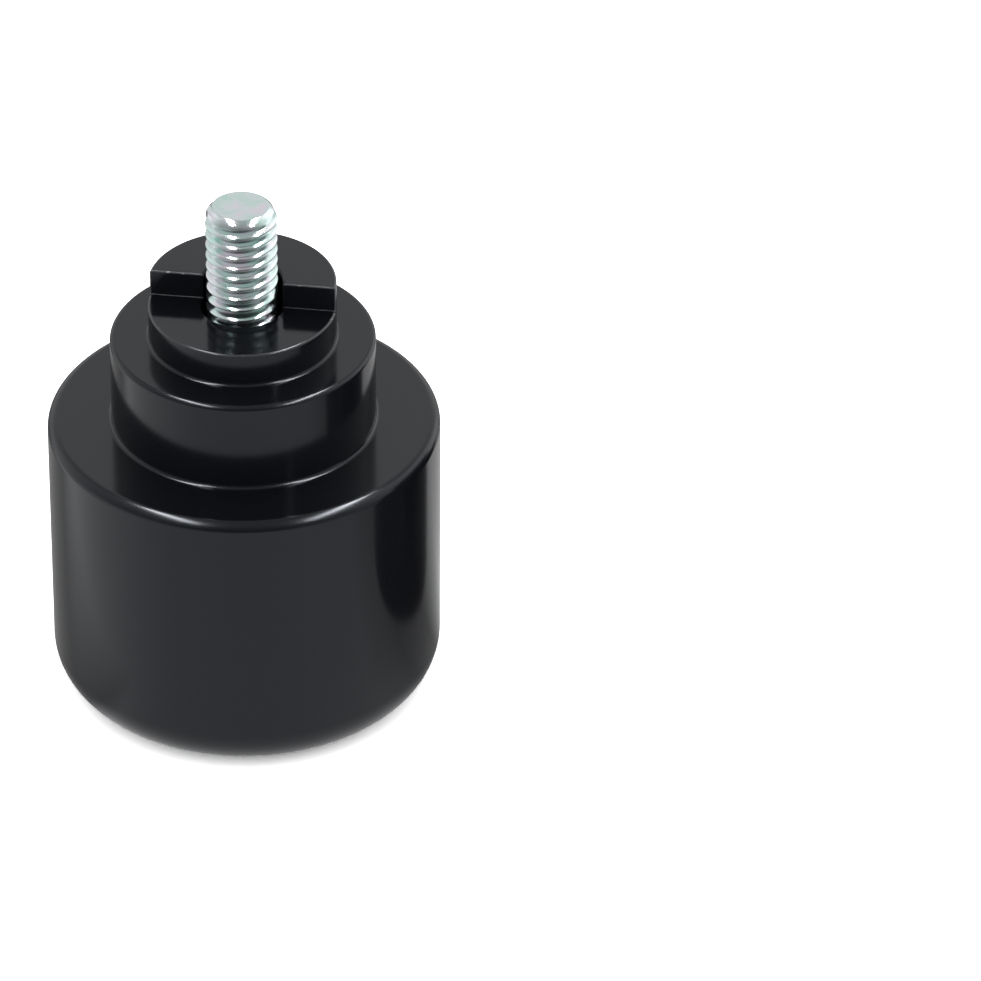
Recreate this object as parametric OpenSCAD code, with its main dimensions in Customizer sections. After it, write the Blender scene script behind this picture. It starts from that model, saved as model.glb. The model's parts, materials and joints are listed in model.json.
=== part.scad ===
// Bar end for a motorbike handlebar, standing on its outer face.
// A turned aluminium body with a stepped end, held by a socket head screw that runs through it.
// Millimetres. The origin is the centre of the outer face, and +Z runs along the axis to the screw's tip.

/* [Barrel] */
// Diameter of the barrel
barrel_d = 33; // [28:0.5:42]
// Height of the barrel, from the outer face to the shoulder
barrel_h = 25.5; // [16:0.5:45]
// Radius of the rounded edge round the outer face
base_r = 4; // [0.5:0.25:7]
// Radius of the edge round the shoulder
rim_r = 0.9; // [0.2:0.1:2]

/* [Collar] */
// Diameter of the collar, the same as the outside of the handlebar tube
collar_d = 22.2; // [20:0.2:25.4]
// Height of the collar above the shoulder
collar_h = 8; // [4:0.5:16]
// Radius of the edge round the top of the collar
collar_edge_r = 0.4; // [0.1:0.05:1]
// Radius of the concave corner where the collar meets the shoulder
collar_root_r = 0.35; // [0.1:0.05:1]

/* [Spigot] */
// Diameter of the spigot, which goes inside the handlebar tube
spigot_d = 15.7; // [13:0.1:18]
// Height of the low half of the spigot above the collar
spigot_h = 3; // [1.5:0.25:8]
// Radius of the edge round the top of the spigot
spigot_edge_r = 0.2; // [0.05:0.05:0.5]
// Radius of the concave corner where the spigot meets the collar
spigot_root_r = 0.3; // [0.1:0.05:0.6]

/* [Half-moon key] */
// Height of the raised half above the low half
key_h = 2.3; // [1:0.1:6]
// Turn of the key's wall about the axis, in degrees
key_turn = -7; // [-180:1:180]
// How far the key's wall stands back from the axis
key_set_back = 0.2; // [0:0.05:1]
// How far one wing of the wall stands behind the other
key_step = 0.55; // [0:0.05:1.2]
// Width of the broken edge along the top of the wall
key_edge = 0.12; // [0.05:0.01:0.14]
// Radius of the concave corner at the foot of the wall
key_root_r = 0.2; // [0.05:0.05:0.5]

/* [Bore] */
// Radial gap between the screw and the bore
bore_gap = 0.4; // [0.1:0.05:0.8]
// Width of the broken edge round the bore at the spigot's end
bore_edge = 0.2; // [0.16:0.02:0.4]
// Radial gap between the screw's head and its counterbore
head_gap = 0.5; // [0.2:0.05:1]
// How far the head lies below the outer face
head_sink = 0.1; // [0:0.1:4]
// Width of the broken edge round the counterbore at the outer face
counterbore_edge = 0.4; // [0.1:0.05:1]

/* [Screw] */
// Thread diameter of the screw
screw_d = 6; // [5:0.5:6.5]
// How far the screw stands out past the raised half of the spigot
screw_reach = 7.3; // [3:0.1:30]
// How much smaller the shank's radius is than that of the free end
shank_relief = 0.2; // [0.16:0.02:0.4]
// Diameter of the flat on the screw's tip
tip_d = 4.4; // [3:0.1:4.8]
// Height of the lead at the screw's tip
tip_h = 0.95; // [0.5:0.05:2]
// How far the lead bulges out of a straight chamfer
tip_bulge = 0.17; // [0:0.01:0.25]
// Diameter of the screw's head
head_d = 10; // [9:0.5:12]
// Height of the screw's head
head_h = 6; // [4.5:0.25:8]
// Width of the broken edges of the head
head_edge = 0.6; // [0.2:0.1:1]
// Width across the flats of the hexagon socket
hex_w = 5; // [3:0.5:5.5]
// Depth of the hexagon socket
hex_depth = 3; // [2:0.25:3.5]
// Radius of the corner under the head
head_root_r = 0.25; // [0.1:0.05:0.4]

/* [Hidden] */
// Fine segments round the axis, so that long curves stay smooth
$fn = 180;
// Small overrun that lets a cut pass through a face
cut = 1;
// Segments in an edge's arc
arc_steps = 12;
barrel_r = barrel_d / 2;
collar_r = collar_d / 2;
spigot_r = spigot_d / 2;
screw_r = screw_d / 2;
head_r = head_d / 2;
shoulder_z = barrel_h;
collar_z = shoulder_z + collar_h;
floor_z = collar_z + spigot_h;
key_z = floor_z + key_h;
bore_r = screw_r + bore_gap;
counterbore_r = head_r + head_gap;
seat_z = head_sink + head_h;
screw_tip_z = key_z + screw_reach;
shank_r = screw_r - shank_relief;
// The free end is what a nut can take: it starts just above the raised half
free_end_z = key_z + 0.05;
bore_lead = max(0, head_root_r - bore_gap - shank_relief) + bore_edge;
// The drill's cone at the bottom of the hexagon socket
drill_tip_r = 0.25;
drill_cone_h = (hex_w / 2 - drill_tip_r) * tan(30);

// Points of an arc from one angle to another about a centre
function arc(centre, r, from, to) = [
    for (i = [0 : arc_steps])
        let (a = from + (to - from) * i / arc_steps)
            centre + r * [cos(a), sin(a)]
];

// Half outline of the body with the spigot's end at a given height
function body_outline(end_z) = concat(
    [[0, 0]],
    arc([barrel_r - base_r, base_r], base_r, -90, 0),
    arc([barrel_r - rim_r, shoulder_z - rim_r], rim_r, 0, 90),
    arc([collar_r + collar_root_r, shoulder_z + collar_root_r], collar_root_r, 270, 180),
    arc([collar_r - collar_edge_r, collar_z - collar_edge_r], collar_edge_r, 0, 90),
    arc([spigot_r + spigot_root_r, collar_z + spigot_root_r], spigot_root_r, 270, 180),
    arc([spigot_r - spigot_edge_r, end_z - spigot_edge_r], spigot_edge_r, 0, 90),
    [[0, end_z]]
);

// One wing of the key's wall: the space behind it, with the top edge broken and a concave foot
module wing_space(side, offset) {
    reach = spigot_r + cut;
    section = concat(
        [[reach, floor_z - cut], [offset - key_root_r, floor_z - cut]],
        arc([offset - key_root_r, floor_z + key_root_r], key_root_r, -90, 0),
        [[offset, key_z - key_edge], [offset + key_edge, key_z], [reach, key_z]]
    );
    rotate([90, 0, 90])
        translate([0, 0, side > 0 ? 0 : -reach])
            linear_extrude(reach)
                polygon(section);
}

// The raised half of the spigot, a half moon behind the two wings of its wall
module key() {
    difference() {
        intersection() {
            rotate_extrude() polygon(body_outline(key_z));
            rotate(key_turn) {
                wing_space(-1, key_set_back + key_step / 2);
                wing_space(1, key_set_back - key_step / 2);
            }
        }
        bore_mouth(key_z);
    }
}

// The broken edge where the bore comes out of a flat face, open above that face
module bore_mouth(face_z) {
    translate([0, 0, face_z - bore_edge])
        cylinder(h = bore_edge + cut, r1 = bore_r, r2 = bore_r + bore_edge + cut);
}

// The turned piece up to the low half of the spigot
module turned_blank() {
    difference() {
        rotate_extrude() polygon(body_outline(floor_z));
        bore_mouth(floor_z);
    }
}

// The hole along the axis: the counterbore for the head, the clearance bore and their broken edges
module through_hole() {
    translate([0, 0, -cut]) cylinder(h = seat_z + cut, r = counterbore_r);
    translate([0, 0, -cut])
        cylinder(h = counterbore_edge + cut, r1 = counterbore_r + counterbore_edge + cut, r2 = counterbore_r);
    translate([0, 0, seat_z - cut]) cylinder(h = key_z - seat_z + 2 * cut, r = bore_r);
    translate([0, 0, seat_z]) cylinder(h = bore_lead, r1 = bore_r + bore_lead, r2 = bore_r);
}

// The body, black anodised
module body() {
    color([0.05, 0.05, 0.055])
    difference() {
        union() {
            turned_blank();
            key();
        }
        through_hole();
    }
}

// Points of a shallow curve that bulges to the right of the way from one point to another
function bulged(from, to, bulge) = [
    for (i = [0 : arc_steps])
        let (t = i / arc_steps, way = to - from, right = [way[1], -way[0]] / norm(way))
            from + t * way + 4 * t * (1 - t) * bulge * right
];

// Half outline of the screw: head, corner under the head, shank, free end and lead
function screw_outline() = concat(
    [[0, head_sink], [head_r - head_edge, head_sink], [head_r, head_sink + head_edge],
     [head_r, seat_z - head_edge / 3], [head_r - head_edge / 3, seat_z]],
    arc([shank_r + head_root_r, seat_z + head_root_r], head_root_r, 270, 180),
    [[shank_r, free_end_z - shank_relief], [screw_r, free_end_z]],
    bulged([screw_r, screw_tip_z - tip_h], [tip_d / 2, screw_tip_z], tip_bulge),
    [[0, screw_tip_z]]
);

// The hexagon socket, with the drill's cone at its bottom
module hex_socket() {
    translate([0, 0, head_sink - cut]) cylinder(h = hex_depth + cut, d = hex_w / cos(30), $fn = 6);
    translate([0, 0, head_sink + hex_depth]) cylinder(h = drill_cone_h, r1 = hex_w / 2, r2 = drill_tip_r);
}

// The socket head screw, zinc plated, with its head in the counterbore
module screw() {
    color([0.72, 0.76, 0.77])
    difference() {
        rotate_extrude() polygon(screw_outline());
        hex_socket();
    }
}

body();
screw();
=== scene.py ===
import json
import math

import bmesh
import bpy
from mathutils import Matrix, Vector


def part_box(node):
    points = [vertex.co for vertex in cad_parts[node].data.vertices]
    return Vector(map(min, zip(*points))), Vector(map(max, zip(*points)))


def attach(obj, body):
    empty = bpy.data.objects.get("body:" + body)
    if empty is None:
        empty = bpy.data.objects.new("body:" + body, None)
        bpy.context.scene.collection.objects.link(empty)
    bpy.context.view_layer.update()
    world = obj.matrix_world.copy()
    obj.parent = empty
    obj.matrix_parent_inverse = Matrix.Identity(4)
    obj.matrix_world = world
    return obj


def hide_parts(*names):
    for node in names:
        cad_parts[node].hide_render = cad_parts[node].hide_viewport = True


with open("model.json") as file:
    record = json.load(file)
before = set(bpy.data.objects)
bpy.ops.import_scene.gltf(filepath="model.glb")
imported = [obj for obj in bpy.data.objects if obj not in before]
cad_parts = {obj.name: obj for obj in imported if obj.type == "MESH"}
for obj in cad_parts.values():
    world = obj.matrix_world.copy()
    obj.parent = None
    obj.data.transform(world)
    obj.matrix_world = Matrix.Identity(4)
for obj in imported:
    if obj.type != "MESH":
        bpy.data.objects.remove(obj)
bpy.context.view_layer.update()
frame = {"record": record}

# A bar end: a turned body with a half-moon key on its spigot, and the socket head screw that runs through it

MM = 0.001
MOUNTS = {m["name"]: m for m in frame["record"]["mounts"]}
BODY_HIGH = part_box("body")[1]
SCREW_LOW, SCREW_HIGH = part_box("screw")

# Sizes of the body, from the frame where it states them
BARREL_R = BODY_HIGH.x
COLLAR_R = MOUNTS["collar"]["dims"]["r_mm"] * MM
SPIGOT_R = MOUNTS["spigot"]["dims"]["r_mm"] * MM
SHOULDER_Z = MOUNTS["shoulder"]["pos_m"][2]
COLLAR_Z = MOUNTS["tube_seat"]["pos_m"][2]
KEY_Z = BODY_HIGH.z
KEY_H = 2.3 * MM
FLOOR_Z = KEY_Z - KEY_H
BASE_EDGE_R = 4 * MM
RIM_R = 0.9 * MM
COLLAR_ROOT_R = 0.35 * MM
COLLAR_EDGE_R = 0.4 * MM
SPIGOT_ROOT_R = 0.3 * MM
SPIGOT_EDGE_R = 0.2 * MM
# Where the rounded edge of the spigot's low half ends, in degrees, a little before it meets the wall
LOW_EDGE_END = 6

# The half-moon key's wall: its turn about the axis, and how far each wing stands behind the axis
KEY_TURN = math.radians(-7)
WING_OFFSETS = {-1: 0.475 * MM, 1: -0.075 * MM}
KEY_EDGE_R = 0.12 * MM
KEY_ROOT_R = 0.1 * MM
# How far each wing runs past the axis, where the bore takes it away
WING_PAST_AXIS = 0.5 * MM

# The bore and the counterbore on the hidden face
BORE_R = 3.4 * MM
BORE_EDGE = 0.2 * MM
COUNTERBORE_R = 5.5 * MM
COUNTERBORE_EDGE = 0.4 * MM
SEAT_Z = 6.1 * MM

# The screw's thread. Its crests stay a hair inside the frame's cylinder
THREAD_R = MOUNTS["screw_end"]["dims"]["r_mm"] * MM
THREAD_PITCH = 1.0 * MM
THREAD_LENGTH = 24 * MM
THREAD_DEPTH = 0.62 * MM
CREST_PLAY = 0.01 * MM
# How far the thread is moved along the axis, so that its crests lie where the photo's do
THREAD_SHIFT = -0.16 * MM
# What the helix has to spare before the blank's ends cut it off
SPARE_TURNS = 3
SPARE_LENGTH = 1.5 * MM
# Points in one pitch, and how much closer together they stand at the crest and at the root
THREAD_POINTS = 18
THREAD_CROWDING = 0.35

# The screw's plain shank, the start of its thread and its tip
SHANK_R = 2.65 * MM
SHANK_OVERLAP = 0.5 * MM
THREAD_START_R = 2.3 * MM
THREAD_START_H = 0.7 * MM
CREST_TAPER_H = 0.3 * MM
TIP_H = 0.95 * MM
TIP_BULGE = 0.12 * MM
TIP_FLAT_R = 2.2 * MM
TIP_EDGE_R = 0.2 * MM
TIP_EDGE_FROM = 59

# The screw's head
HEAD_R = SCREW_HIGH.x
HEAD_LOW_Z = SCREW_LOW.z
HEAD_EDGE = 0.6 * MM
HEAD_ROOT_R = 0.25 * MM
HEX_SIDES = 6
HEX_ACROSS_FLATS = 5 * MM
HEX_DEPTH = 3 * MM
DRILL_ANGLE = math.radians(30)

# Mesh density: steps round the axis, and steps in the arcs of the edges
ROUND_STEPS = 256
SCREW_STEPS = 96
BASE_STEPS = 32
RIM_STEPS = 20
EDGE_STEPS = 12
FINE_STEPS = 8
TINY_STEPS = 6
# How far a cutting solid runs past what it cuts
CUT = 1 * MM
# Points this near the axis are on it, and points this near each other are one
ON_AXIS = 1e-9
WELD = 1e-7
# Edges that turn by more than this stay sharp, in degrees
BODY_SHARP = 30
SCREW_SHARP = 20
FLAT_FACE_WEIGHT = 100

# Black anodise: the dye, its clear layer's index and cool cast, and the bare metal of worn spots
DYE = (0.0052, 0.0056, 0.0074, 1)
DYE_IOR = 1.39
DYE_CAST = (0.89, 0.93, 1.0, 1)
BARE_METAL = (0.41, 0.42, 0.44, 1)
BARE_ROUGHNESS = 0.35
# Roughness of the faces, from place to place, and how much more the rounded edges have
FACE_ROUGHNESS = (0.1, 0.13)
EDGE_ROUGHNESS = 0.56
# Turning marks run round the axis, so reflections spread across them
TURNING_SPREAD = 0.76
TURNING_ANGLE = 0.25
TURNING_GRAIN = {"Scale": 9000, "Detail": 2}
TURNING_BUMP = {"Strength": 0.02, "Distance": 0.00002}
CLOUDS = {"Scale": 120, "Detail": 4}

# Wear of the edges: how far in from the sharp corner it lies, how far it reaches and how much of that is full
WEAR_INSET = 0.06 * MM
ROUND_EDGE_WEAR = 0.16 * MM
WALL_EDGE_WEAR = 0.13 * MM
CORNER_WEAR = 0.12 * MM
WEAR_CORE = 0.4
# The low half's edge is worn less than the key's
LOW_EDGE_WEAR = 0.5
# The wear is chipped: the noise's range from hardly bare to bare
CHIPS = {"Scale": 1700, "Detail": 4, "Roughness": 0.6}
CHIP_RANGE = (0.6, 0.74)
CHIP_LEAST = 0.2

# Zinc plating: the colour of its thin film against the film's noise, its roughness and its grain
FILM = {"Scale": 520, "Detail": 2, "Distortion": 0.8}
FILM_COLOURS = [
    (0.3, (0.46, 0.63, 0.59)),
    (0.46, (0.54, 0.64, 0.62)),
    (0.56, (0.59, 0.64, 0.66)),
    (0.72, (0.66, 0.6, 0.66)),
]
ZINC_ROUGHNESS = (0.1, 0.2)
ZINC_GRAIN = {"Scale": 2600, "Detail": 3}
ZINC_BUMP = {"Strength": 0.12, "Distance": 0.00003}

# The camera looks past the part's right side, as the photo does
CAMERA_TARGET = Vector((20.73 * MM, 26.05 * MM, 0))
CAMERA_PITCH = 0.6016
CAMERA_ROLL = 0.0077
CAMERA_DISTANCE = 641.1 * MM
CAMERA_CLIP = (0.01, 20)
FOCAL_PIXELS = 7212.3
IMAGE_WIDTH = 981
SENSOR_MM = 36

# The studio as reflections show it: brightness against the direction's Y part, from the front to the back,
# and against its X part, from the left to the right. The brighter of the two counts
SKY_BY_Y = [
    (-1, 0.12), (-0.9, 0.2), (-0.7, 0.38), (-0.4, 0.45),
    (0, 0.48), (0.27, 0.45), (0.82, 0.93), (1, 1.0),
]
SKY_BY_X = [
    (-1, 1.3), (-0.8, 1.25), (-0.6, 1.0), (-0.42, 0.4),
    (0, 0), (0.42, 0.5), (0.6, 1.7), (1, 1.9),
]
# The sides are bright towards the back only
SIDES_BY_Y = [(-1, 0.15), (-0.6, 0.2), (0, 0.6), (0.5, 1.0)]

# The floor: its edges in metres, its own grey and the one that the camera sees
FLOOR_SIDE = 1.5
FLOOR_FRONT = -0.12
FLOOR_BACK = 1.5
FLOOR_COLOUR = 0.9
FLOOR_SEEN_COLOUR = 2.6
# Its brightness in reflections against the turn from the front, in degrees, left being negative. The dip on
# the right and the dimmer back are painted shade of the part's shadow
FLOOR_BY_TURN = [
    (-180, 1.0), (-60, 1.0), (-35, 0.88), (35, 0.86), (55, 0.74),
    (76, 0.3), (97, 0.25), (108, 0.5), (122, 0.72), (180, 0.35),
]
# The part's painted soft shadow behind it on the left: its span along X + Y, how dark it gets and the turn
# where it ends
SHADOW_SPAN = (-38 * MM, -24 * MM)
SHADOW_LEVEL = 0.33
SHADOW_END = (math.radians(-68), math.radians(-48))

# Two long soft lamps overhead, each from its back end to its front end, in metres
LAMPS = {
    "lamp_left": ((-0.545, 0.6, 1.6), (-0.69, -1.05, 1.6)),
    "lamp_right": ((0.5, 0.88, 1.6), (1.2, -1.35, 1.6)),
}
LAMP_HALF_WIDTH = 0.16
LAMP_BRIGHTNESS = 43
LAMP_FALL = 2.5

# A dark round card beside the part: its outline (r, z) in millimetres, its place and its finish
FLAG_OUTLINE = [(0, 0.3), (16, 0.3), (16.5, 25), (11, 25.5), (11, 33), (0, 33)]
FLAG_PLACE = (42.71 * MM, 0.48 * MM, 0)
FLAG_STEPS = 64
FLAG_FINISH = {"Base Color": (0.004, 0.004, 0.004, 1), "Roughness": 0.15, "IOR": 1.4}
# What doesn't see a piece that only reflections show
OTHER_RAYS = ("camera", "diffuse", "shadow", "transmission", "volume_scatter")


def arc(centre, radius, start, end, steps):
    """Points of an arc in the (r, z) half plane, with its angles in degrees."""
    angles = [math.radians(start + (end - start) * i / steps) for i in range(steps + 1)]
    return [(centre[0] + radius * math.cos(a), centre[1] + radius * math.sin(a)) for a in angles]


def bulged(start, end, bulge, steps):
    """Points of a shallow curve that bulges to the right of the way from start to end."""
    way = Vector(end) - Vector(start)
    right = Vector((way.y, -way.x)).normalized()
    shares = [i / steps for i in range(steps + 1)]
    return [tuple(Vector(start) + t * way + 4 * t * (1 - t) * bulge * right) for t in shares]


def add_object(name, build):
    """An object made from a bmesh, with its faces turned outwards."""
    bmesh.ops.recalc_face_normals(build, faces=build.faces)
    mesh = bpy.data.meshes.new(name)
    build.to_mesh(mesh)
    build.free()
    made = bpy.data.objects.new(name, mesh)
    bpy.context.scene.collection.objects.link(made)
    return made


def revolve(name, outline, steps):
    """A closed solid from an outline in the (r, z) half plane, which closes on itself or on the axis."""
    build = bmesh.new()
    turns = [2 * math.pi * i / steps for i in range(steps)]
    rings = []
    for radius, z in outline:
        if radius < ON_AXIS:
            rings.append([build.verts.new((0, 0, z))] * steps)
        else:
            rings.append([build.verts.new((radius * math.cos(t), radius * math.sin(t), z)) for t in turns])
    for low, high in zip(rings, rings[1:] + rings[:1]):
        if low[0] is low[1] and high[0] is high[1]:
            continue
        for i in range(steps):
            corners = [low[i], low[(i + 1) % steps], high[(i + 1) % steps], high[i]]
            build.faces.new(list(dict.fromkeys(corners)))
    return add_object(name, build)


def prism(name, section, x_low, x_high):
    """A closed solid with a section in the (y, z) plane, from one x to another."""
    build = bmesh.new()
    ends = [[build.verts.new((x, y, z)) for y, z in section] for x in (x_low, x_high)]
    build.faces.new(ends[0])
    build.faces.new(ends[1])
    for i in range(len(section)):
        j = (i + 1) % len(section)
        build.faces.new((ends[0][i], ends[0][j], ends[1][j], ends[1][i]))
    return add_object(name, build)


def combine(target, tool, operation):
    """Applies a boolean to the target and deletes the tool."""
    modifier = target.modifiers.new("combine", "BOOLEAN")
    modifier.operation = operation
    modifier.object = tool
    modifier.solver = "MANIFOLD"
    bpy.context.view_layer.update()
    evaluated = target.evaluated_get(bpy.context.evaluated_depsgraph_get())
    mesh = bpy.data.meshes.new_from_object(evaluated)
    target.modifiers.clear()
    target.data = mesh
    bpy.data.objects.remove(tool)


def smooth(piece, sharp_angle):
    """Smooth shading with sharp edges kept, weighted so that flat faces stay flat."""
    build = bmesh.new()
    build.from_mesh(piece.data)
    bmesh.ops.remove_doubles(build, verts=build.verts, dist=WELD)
    bmesh.ops.dissolve_degenerate(build, edges=build.edges, dist=WELD)
    build.to_mesh(piece.data)
    build.free()
    piece.data.shade_smooth()
    piece.data.set_sharp_from_angle(angle=math.radians(sharp_angle))
    weighted = piece.modifiers.new("weighted_normals", "WEIGHTED_NORMAL")
    weighted.keep_sharp = True
    weighted.weight = FLAT_FACE_WEIGHT


def body_outline():
    """Closed outline of the body round its bore, as high as the key all round."""
    return (
        [(COUNTERBORE_R, SEAT_Z), (COUNTERBORE_R, COUNTERBORE_EDGE), (COUNTERBORE_R + COUNTERBORE_EDGE, 0)]
        + arc((BARREL_R - BASE_EDGE_R, BASE_EDGE_R), BASE_EDGE_R, -90, 0, BASE_STEPS)
        + arc((BARREL_R - RIM_R, SHOULDER_Z - RIM_R), RIM_R, 0, 90, RIM_STEPS)
        + arc((COLLAR_R + COLLAR_ROOT_R, SHOULDER_Z + COLLAR_ROOT_R), COLLAR_ROOT_R, 270, 180, EDGE_STEPS)
        + arc((COLLAR_R - COLLAR_EDGE_R, COLLAR_Z - COLLAR_EDGE_R), COLLAR_EDGE_R, 0, 90, EDGE_STEPS)
        + arc((SPIGOT_R + SPIGOT_ROOT_R, COLLAR_Z + SPIGOT_ROOT_R), SPIGOT_ROOT_R, 270, 180, EDGE_STEPS)
        + arc((SPIGOT_R - SPIGOT_EDGE_R, KEY_Z - SPIGOT_EDGE_R), SPIGOT_EDGE_R, 0, 90, FINE_STEPS)
        + [(BORE_R + BORE_EDGE, KEY_Z), (BORE_R, KEY_Z - BORE_EDGE)]
        + [(BORE_R, SEAT_Z + BORE_EDGE), (BORE_R + BORE_EDGE, SEAT_Z)]
    )


def space_over_low_half():
    """The space above the low half of the spigot, with the low half's rounded edge and broken bore edge."""
    reach = SPIGOT_R + CUT
    low_z = FLOOR_Z - 2 * BORE_EDGE
    centre = (SPIGOT_R - SPIGOT_EDGE_R, FLOOR_Z - SPIGOT_EDGE_R)
    rounded = arc(centre, SPIGOT_EDGE_R, 90, LOW_EDGE_END, FINE_STEPS)
    outline = [(0, low_z), (BORE_R - BORE_EDGE, low_z), (BORE_R + BORE_EDGE, FLOOR_Z)] + rounded
    outline += [(reach, rounded[-1][1]), (reach, KEY_Z + CUT), (0, KEY_Z + CUT)]
    return revolve("space", outline, ROUND_STEPS)


def wing(side):
    """The key's material behind one wing of its wall: a rounded top edge and a concave foot."""
    offset = WING_OFFSETS[side]
    reach = SPIGOT_R + 2 * CUT
    section = [(reach, FLOOR_Z - CUT), (offset - KEY_ROOT_R, FLOOR_Z - CUT)]
    section += arc((offset - KEY_ROOT_R, FLOOR_Z + KEY_ROOT_R), KEY_ROOT_R, -90, 0, FINE_STEPS)
    section += arc((offset + KEY_EDGE_R, KEY_Z - KEY_EDGE_R), KEY_EDGE_R, 180, 90, TINY_STEPS)
    section += [(offset + KEY_EDGE_R, KEY_Z + 2 * CUT), (reach, KEY_Z + 2 * CUT)]
    ends = (-WING_PAST_AXIS, reach) if side > 0 else (-reach, WING_PAST_AXIS)
    made = prism("wing", section, *ends)
    made.data.transform(Matrix.Rotation(KEY_TURN, 4, "Z"))
    return made


def make_body():
    """The turned body with its half-moon key."""
    body = revolve("bar_end_body", body_outline(), ROUND_STEPS)
    space = space_over_low_half()
    for side in WING_OFFSETS:
        combine(space, wing(side), "DIFFERENCE")
    combine(body, space, "DIFFERENCE")
    smooth(body, BODY_SHARP)
    return body


def thread_profile():
    """Points (z, r) of one pitch of a rolled thread, from root to root, with crest and root rounded."""
    middle_r = THREAD_R - CREST_PLAY - THREAD_DEPTH / 2
    turns = [2 * math.pi * i / THREAD_POINTS for i in range(THREAD_POINTS)]
    turns = [t - THREAD_CROWDING * math.sin(2 * t) for t in turns]
    return [(THREAD_PITCH * t / (2 * math.pi), middle_r - THREAD_DEPTH / 2 * math.cos(t)) for t in turns]


def thread_columns(build, z_low, turns):
    """The points of a helical thread, one column of them for each step round the axis."""
    profile = thread_profile()
    columns = []
    for step in range(SCREW_STEPS):
        angle = 2 * math.pi * step / SCREW_STEPS
        rise = z_low + THREAD_PITCH * step / SCREW_STEPS
        column = []
        for turn in range(turns):
            for z, radius in profile:
                place = (radius * math.cos(angle), radius * math.sin(angle), rise + turn * THREAD_PITCH + z)
                column.append(build.verts.new(place))
        columns.append(column)
    return columns


def threaded_rod(name, z_low, turns):
    """A closed rod with a helical thread."""
    build = bmesh.new()
    columns = thread_columns(build, z_low, turns)
    low = build.verts.new((0, 0, z_low))
    high = build.verts.new((0, 0, z_low + turns * THREAD_PITCH))
    for here, there in zip(columns, columns[1:]):
        for i in range(len(here) - 1):
            build.faces.new((here[i], there[i], there[i + 1], here[i + 1]))
        build.faces.new((low, there[0], here[0]))
        build.faces.new((high, here[-1], there[-1]))
    # The last column meets the first one a pitch higher
    last, first = columns[-1], columns[0]
    top_from = len(last) - THREAD_POINTS - 1
    for i in range(top_from):
        j = i + THREAD_POINTS
        build.faces.new((last[i], first[j], first[j + 1], last[i + 1]))
    build.faces.new([low] + first[:THREAD_POINTS + 1] + [last[0]])
    build.faces.new([high] + last[top_from:][::-1] + [first[-1]])
    return add_object(name, build)


def head_outline():
    """Closed outline of the screw's head and shank, up to where the thread takes over."""
    shank_end_z = SCREW_HIGH.z - THREAD_LENGTH + SHANK_OVERLAP
    return (
        [(0, HEAD_LOW_Z), (HEAD_R - HEAD_EDGE, HEAD_LOW_Z), (HEAD_R, HEAD_LOW_Z + HEAD_EDGE)]
        + [(HEAD_R, SEAT_Z - HEAD_EDGE / 3), (HEAD_R - HEAD_EDGE / 3, SEAT_Z)]
        + arc((SHANK_R + HEAD_ROOT_R, SEAT_Z + HEAD_ROOT_R), HEAD_ROOT_R, 270, 180, FINE_STEPS)
        + [(SHANK_R, shank_end_z), (0, shank_end_z)]
    )


def thread_envelope():
    """The turned blank that the thread is rolled on, with the lead and the flat tip's rounded edge."""
    low_z = SCREW_HIGH.z - THREAD_LENGTH
    lead_z = SCREW_HIGH.z - TIP_H
    outline = [(0, low_z), (THREAD_START_R, low_z), (THREAD_R, low_z + THREAD_START_H)]
    outline += [(THREAD_R, lead_z - CREST_TAPER_H)]
    tip_edge = arc((TIP_FLAT_R, SCREW_HIGH.z - TIP_EDGE_R), TIP_EDGE_R, TIP_EDGE_FROM, 90, TINY_STEPS)
    outline += bulged((THREAD_R - CREST_PLAY, lead_z), tip_edge[0], TIP_BULGE, EDGE_STEPS)
    outline += tip_edge[1:] + [(0, SCREW_HIGH.z)]
    return revolve("envelope", outline, SCREW_STEPS)


def hexagon_socket():
    """The space of the hexagon socket, with the drill's cone at its bottom."""
    corner_r = HEX_ACROSS_FLATS / 2 / math.cos(math.pi / HEX_SIDES)
    bottom = HEAD_LOW_Z + HEX_DEPTH
    sides = [(0, HEAD_LOW_Z - CUT), (corner_r, HEAD_LOW_Z - CUT), (corner_r, bottom), (0, bottom)]
    socket = revolve("socket", sides, HEX_SIDES)
    cone_r = HEX_ACROSS_FLATS / 2
    cone_top = bottom + cone_r * math.tan(DRILL_ANGLE)
    cone = [(0, bottom - CUT), (cone_r, bottom - CUT), (cone_r, bottom), (0, cone_top)]
    combine(socket, revolve("drill", cone, SCREW_STEPS), "UNION")
    return socket


def make_screw():
    """The socket head screw with its rolled thread and its hexagon."""
    turns = round(THREAD_LENGTH / THREAD_PITCH) + SPARE_TURNS
    z_low = SCREW_HIGH.z - THREAD_LENGTH - SPARE_LENGTH + THREAD_SHIFT
    screw = threaded_rod("socket_screw", z_low, turns)
    combine(screw, thread_envelope(), "INTERSECT")
    combine(screw, revolve("head", head_outline(), SCREW_STEPS), "UNION")
    combine(screw, hexagon_socket(), "DIFFERENCE")
    smooth(screw, SCREW_SHARP)
    return screw


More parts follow.
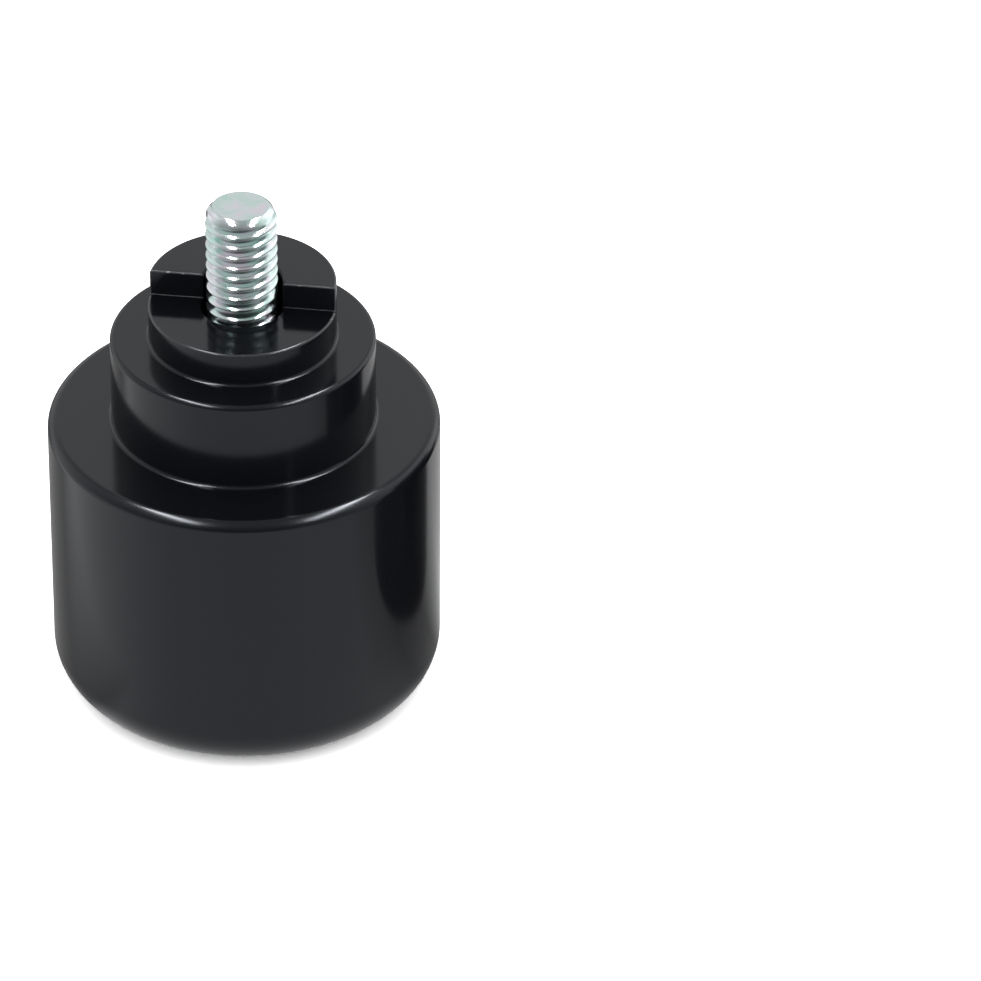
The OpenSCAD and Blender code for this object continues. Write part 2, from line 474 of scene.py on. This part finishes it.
class Nodes:
    """Adds shader nodes to the node tree of a new material or world."""

    def __init__(self, owner):
        owner.use_nodes = True
        self.tree = owner.node_tree

    def feed(self, node, inputs):
        """Sets a node's inputs. A socket is linked, and anything else is its value."""
        for key, value in inputs.items():
            if isinstance(value, bpy.types.NodeSocket):
                self.tree.links.new(value, node.inputs[key])
            else:
                node.inputs[key].default_value = value

    def feed_named(self, name, inputs):
        """Sets the inputs of a node that the tree has from the start."""
        self.feed(self.tree.nodes[name], inputs)

    def add(self, kind, inputs, **settings):
        """A new node with its settings and its inputs."""
        node = self.tree.nodes.new("ShaderNode" + kind)
        for key, value in settings.items():
            setattr(node, key, value)
        self.feed(node, inputs)
        return node

    def source(self, kind, output):
        """An output of a new node that takes no inputs."""
        return self.add(kind, {}).outputs[output]

    def maths(self, operation, *values):
        """The result of a Math node."""
        return self.add("Math", dict(enumerate(values)), operation=operation).outputs[0]

    def measure(self, operation, *vectors):
        """The number that a Vector Math node gives."""
        return self.add("VectorMath", dict(enumerate(vectors)), operation=operation).outputs["Value"]

    def point(self, x, y):
        """A vector with no Z part."""
        return self.add("CombineXYZ", {0: x, 1: y}).outputs[0]

    def noise(self, place, settings):
        """Noise from 0 to 1."""
        return self.add("TexNoise", {"Vector": place, **settings}).outputs["Fac"]

    def rescale(self, value, old=(0, 1), new=(0, 1)):
        """A value taken from one range to another and held at its ends."""
        inputs = {"Value": value, "From Min": old[0], "From Max": old[1], "To Min": new[0], "To Max": new[1]}
        return self.add("MapRange", inputs).outputs[0]

    def ramp(self, share, stops):
        """A colour that follows a value from 0 to 1, through pairs of the value and a colour."""
        node = self.add("ValToRGB", {"Fac": share})
        elements = node.color_ramp.elements
        while len(elements) < len(stops):
            elements.new(0.5)
        for element, (position, colour) in zip(elements, stops):
            element.position = position
            element.color = (*colour, 1)
        return node.outputs["Color"]

    def grey(self, value, low, high, stops):
        """A grey that follows a value from low to high, through pairs of the value and a brightness."""
        greys = [((at - low) / (high - low), (brightness,) * 3) for at, brightness in stops]
        return self.ramp(self.rescale(value, (low, high)), greys)


def edge_wear(nodes, place, radius, height):
    """From 0 to 1, how near a point is to the edges of the spigot and of the key's wall."""

    def near(across, along, edge, reach):
        gap = nodes.measure("DISTANCE", nodes.point(across, along), (*edge, 0))
        return nodes.rescale(gap, (reach, reach * WEAR_CORE))

    cosine, sine = math.cos(KEY_TURN), math.sin(KEY_TURN)
    side = nodes.measure("DOT_PRODUCT", place, (cosine, sine, 0))
    back = nodes.measure("DOT_PRODUCT", place, (-sine, cosine, 0))
    on_right = nodes.maths("GREATER_THAN", side, 0.0)
    step = nodes.maths("MULTIPLY", on_right, WING_OFFSETS[1] - WING_OFFSETS[-1])
    behind = nodes.maths("SUBTRACT", nodes.maths("SUBTRACT", back, step), WING_OFFSETS[-1])
    low_half = nodes.maths("MULTIPLY", nodes.maths("LESS_THAN", behind, 0.0), LOW_EDGE_WEAR)
    above = nodes.maths("GREATER_THAN", height, FLOOR_Z)
    low_edge = near(radius, height, (SPIGOT_R - WEAR_INSET, FLOOR_Z - WEAR_INSET), ROUND_EDGE_WEAR)
    top_edge = near(radius, height, (SPIGOT_R - WEAR_INSET, KEY_Z - WEAR_INSET), ROUND_EDGE_WEAR)
    wall_edge = near(behind, height, (WEAR_INSET / 2, KEY_Z - WEAR_INSET / 2), WALL_EDGE_WEAR)
    corner = near(radius, behind, (SPIGOT_R, 0), CORNER_WEAR)
    low_worn = nodes.maths("MULTIPLY", low_edge, low_half)
    corner_worn = nodes.maths("MULTIPLY", corner, above)
    worn = nodes.maths("MAXIMUM", low_worn, corner_worn)
    return nodes.maths("MAXIMUM", worn, nodes.maths("MAXIMUM", top_edge, wall_edge))


def face_roughness(nodes, place):
    """Roughness of the anodise. Flat faces and walls are smoother than the rounded edges between them."""
    uneven = nodes.rescale(nodes.noise(place, CLOUDS), new=FACE_ROUGHNESS)
    facing = nodes.add("SeparateXYZ", {0: nodes.source("NewGeometry", "Normal")}).outputs[2]
    upright = nodes.maths("MULTIPLY", facing, facing)
    level = nodes.maths("SUBTRACT", 1.0, upright)
    rounded = nodes.maths("MULTIPLY", upright, level)
    return nodes.maths("MULTIPLY_ADD", rounded, EDGE_ROUGHNESS, uneven)


def black_anodised():
    """Black anodised turned aluminium: a faint turning grain, uneven gloss and bright worn edges."""
    material = bpy.data.materials.new("black_anodised")
    nodes = Nodes(material)
    place = nodes.source("TexCoord", "Object")
    x, y, height = nodes.add("SeparateXYZ", {0: place}).outputs
    radius = nodes.measure("LENGTH", nodes.point(x, y))
    grain = nodes.noise(nodes.point(radius, height), TURNING_GRAIN)
    bump = nodes.add("Bump", {"Height": grain, **TURNING_BUMP}).outputs[0]
    chipped = nodes.rescale(nodes.noise(place, CHIPS), CHIP_RANGE, (CHIP_LEAST, 1))
    bare = nodes.maths("MULTIPLY", edge_wear(nodes, place, radius, height), chipped)
    tint = nodes.add("Mix", {"Factor": bare, 6: DYE, 7: BARE_METAL}, data_type="RGBA").outputs[2]
    rough = nodes.add("Mix", {"Factor": bare, 2: face_roughness(nodes, place), 3: BARE_ROUGHNESS}).outputs[0]
    around = nodes.add("Tangent", {}, direction_type="RADIAL", axis="Z").outputs[0]
    look = {"Base Color": tint, "Metallic": bare, "Roughness": rough, "Normal": bump}
    layer = {"IOR": DYE_IOR, "Specular Tint": DYE_CAST}
    marks = {"Anisotropic": TURNING_SPREAD, "Anisotropic Rotation": TURNING_ANGLE, "Tangent": around}
    nodes.feed_named("Principled BSDF", {**look, **layer, **marks})
    return material


def zinc():
    """Bright zinc plating with a thin clear passivation, faintly blue, green and rose."""
    material = bpy.data.materials.new("zinc_plated")
    nodes = Nodes(material)
    place = nodes.source("TexCoord", "Object")
    tint = nodes.ramp(nodes.noise(place, FILM), FILM_COLOURS)
    grain = nodes.noise(place, ZINC_GRAIN)
    rough = nodes.rescale(grain, new=ZINC_ROUGHNESS)
    bump = nodes.add("Bump", {"Height": grain, **ZINC_BUMP}).outputs[0]
    look = {"Base Color": tint, "Metallic": 1, "Roughness": rough, "Normal": bump}
    nodes.feed_named("Principled BSDF", look)
    return material


def make_camera():
    """A camera at the photo's viewing angle."""
    forward = Vector((0, math.cos(CAMERA_PITCH), -math.sin(CAMERA_PITCH)))
    level_right = Vector((1, 0, 0))
    level_up = level_right.cross(forward)
    right = math.cos(CAMERA_ROLL) * level_right + math.sin(CAMERA_ROLL) * level_up
    up = -math.sin(CAMERA_ROLL) * level_right + math.cos(CAMERA_ROLL) * level_up
    data = bpy.data.cameras.new("camera")
    data.lens = FOCAL_PIXELS / IMAGE_WIDTH * SENSOR_MM
    data.sensor_width = SENSOR_MM
    data.sensor_fit = "HORIZONTAL"
    data.clip_start, data.clip_end = CAMERA_CLIP
    camera = bpy.data.objects.new("camera", data)
    bpy.context.scene.collection.objects.link(camera)
    turn = Matrix((right, up, -forward)).transposed().to_4x4()
    camera.matrix_world = Matrix.Translation(CAMERA_TARGET - forward * CAMERA_DISTANCE) @ turn
    bpy.context.scene.camera = camera


def add_to_stage(name, mesh, material):
    """Adds a piece of the studio to the scene."""
    piece = bpy.data.objects.new(name, mesh)
    bpy.context.scene.collection.objects.link(piece)
    mesh.materials.append(material)
    return piece


def only_in_reflections(piece):
    """Hides a piece of the studio from everything but reflections."""
    for ray in OTHER_RAYS:
        setattr(piece, f"visible_{ray}", False)


def reflected_floor(nodes):
    """The floor as reflections see it: glowing evenly, with painted shade behind the part and a painted
    shadow of the part.
    """
    place = nodes.add("SeparateXYZ", {0: nodes.source("NewGeometry", "Position")}).outputs
    front = nodes.maths("MULTIPLY", place[1], -1.0)
    turn = nodes.maths("ARCTAN2", place[0], front)
    stops = [(math.radians(degrees), brightness) for degrees, brightness in FLOOR_BY_TURN]
    tint = nodes.grey(turn, -math.pi, math.pi, stops)
    diagonal = nodes.maths("ADD", place[0], place[1])
    dimmed = nodes.rescale(diagonal, SHADOW_SPAN, (1.0, SHADOW_LEVEL))
    # Only the left and the back lie in the painted shadow
    clear = nodes.rescale(turn, SHADOW_END)
    shade = nodes.maths("MAXIMUM", dimmed, clear)
    return nodes.add("Emission", {"Color": tint, "Strength": shade}).outputs[0]


def make_floor():
    """A plain white floor that keeps the part's shadow."""
    material = bpy.data.materials.new("floor")
    nodes = Nodes(material)
    path = nodes.add("LightPath", {}).outputs
    plain, seen = [
        nodes.add("BsdfDiffuse", {"Color": (grey, grey, grey, 1)}).outputs[0]
        for grey in (FLOOR_COLOUR, FLOOR_SEEN_COLOUR)
    ]
    lit = nodes.add("MixShader", {0: path["Is Camera Ray"], 1: plain, 2: seen}).outputs[0]
    whole = nodes.add("MixShader", {0: path["Is Glossy Ray"], 1: lit, 2: reflected_floor(nodes)}).outputs[0]
    nodes.feed_named("Material Output", {"Surface": whole})
    mesh = bpy.data.meshes.new("floor")
    front_edge = [(-FLOOR_SIDE, FLOOR_FRONT, 0), (FLOOR_SIDE, FLOOR_FRONT, 0)]
    back_edge = [(FLOOR_SIDE, FLOOR_BACK, 0), (-FLOOR_SIDE, FLOOR_BACK, 0)]
    mesh.from_pydata(front_edge + back_edge, [], [(0, 1, 2, 3)])
    add_to_stage("floor", mesh, material)


def make_world():
    """A white studio. Reflections see a dimmer ceiling, a dim front and bright sides."""
    world = bpy.data.worlds.new("studio")
    nodes = Nodes(world)
    axes = nodes.add("SeparateXYZ", {0: nodes.source("TexCoord", "Generated")}).outputs
    sky, side_share = [nodes.grey(axes["Y"], -1, 1, stops) for stops in (SKY_BY_Y, SIDES_BY_Y)]
    sides = nodes.maths("MULTIPLY", nodes.grey(axes["X"], -1, 1, SKY_BY_X), side_share)
    reflected = nodes.maths("MAXIMUM", sky, sides)
    glossy = nodes.source("LightPath", "Is Glossy Ray")
    strength = nodes.add("Mix", {"Factor": glossy, 2: 1.0, 3: reflected}).outputs[0]
    nodes.feed_named("Background", {"Color": (1, 1, 1, 1), "Strength": strength})
    bpy.context.scene.world = world


def make_lamp(name, near, far):
    """A long soft lamp that only reflections show, brightest along its middle."""
    near, far = Vector(near), Vector(far)
    along = far - near
    across = along.cross((near + far) / 2).normalized() * LAMP_HALF_WIDTH
    material = bpy.data.materials.new(name)
    nodes = Nodes(material)
    share = nodes.add("SeparateXYZ", {0: nodes.source("TexCoord", "Object")}).outputs[0]
    fall = nodes.maths("SUBTRACT", 1.0, nodes.maths("MULTIPLY", share, share))
    strength = nodes.maths("MULTIPLY", nodes.maths("POWER", fall, LAMP_FALL), LAMP_BRIGHTNESS)
    glow = nodes.add("Emission", {"Strength": strength}).outputs[0]
    nodes.feed_named("Material Output", {"Surface": glow})
    mesh = bpy.data.meshes.new(name)
    mesh.from_pydata([(-1, 0, 0), (1, 0, 0), (1, 1, 0), (-1, 1, 0)], [], [(0, 1, 2, 3)])
    lamp = add_to_stage(name, mesh, material)
    normal = across.cross(along).normalized()
    turn = Matrix((across, along, normal)).transposed().to_4x4()
    lamp.matrix_world = Matrix.Translation(near) @ turn
    only_in_reflections(lamp)


def make_flag():
    """The dark round card, which only reflections show."""
    flag = revolve("flag", [(r * MM, z * MM) for r, z in FLAG_OUTLINE], FLAG_STEPS)
    flag.data.transform(Matrix.Translation(FLAG_PLACE))
    material = bpy.data.materials.new("flag")
    Nodes(material).feed_named("Principled BSDF", FLAG_FINISH)
    flag.data.materials.append(material)
    only_in_reflections(flag)


def finish_piece(piece, node, material):
    """Puts a piece in the place of its CAD node and gives it its material."""
    piece.data.materials.clear()
    piece.data.materials.append(material)
    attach(piece, "root")
    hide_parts(node)


make_camera()
make_floor()
make_world()
make_flag()
for lamp_name, lamp_ends in LAMPS.items():
    make_lamp(lamp_name, *lamp_ends)
bpy.context.scene.view_settings.view_transform = "Standard"

finish_piece(make_body(), "body", black_anodised())
finish_piece(make_screw(), "screw", zinc())
